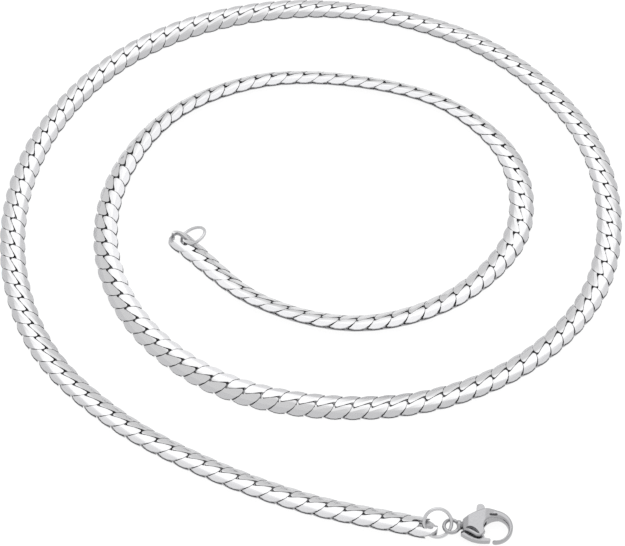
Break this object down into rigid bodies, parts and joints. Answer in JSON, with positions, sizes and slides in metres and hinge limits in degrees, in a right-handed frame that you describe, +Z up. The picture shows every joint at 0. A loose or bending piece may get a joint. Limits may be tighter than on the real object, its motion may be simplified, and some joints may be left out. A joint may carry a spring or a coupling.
{
  "type": "curb chain necklace",
  "caption": "Flat pressed curb chain necklace lying in an open spiral, with a lobster clasp on a jump ring at one end and a wire ring at the other.",
  "frame": {"origin": "on the surface that the necklace lies on, under the middle of its bounding box", "axes": "+Z up from the surface, +Y away from the viewer of the picture, +X to their right"},
  "size_m": [0.1086, 0.121, 0.0034],
  "materials": {
    "chain": "stainless steel, pressed and polished, with slightly duller cut edges",
    "ring_wire": "polished stainless steel wire",
    "clasp": "cast and tumbled stainless steel, soft polish",
    "lever": "cast and tumbled stainless steel, soft polish",
    "pin": "plain stainless steel wire"
  },
  "bodies": {
    "necklace": {"chain_inner": "chain", "chain_outer": "chain", "inner_end_link": "chain", "outer_end_link": "chain", "end_ring": "ring_wire", "jump_ring": "ring_wire", "clasp_body": "clasp", "clasp_pin": "pin"},
    "lever": {"clasp_lever": "lever"}
  },
  "joints": [
    {"name": "lever_hinge", "type": "hinge", "parent": "necklace", "child": "lever", "pos_m": [0.02472, -0.0563, 0.0012], "axis": [0, 0, 1], "range_deg": [0, 25], "stiffness_Nm_per_rad": 0.002, "springref_deg": -17.19}
  ]
}
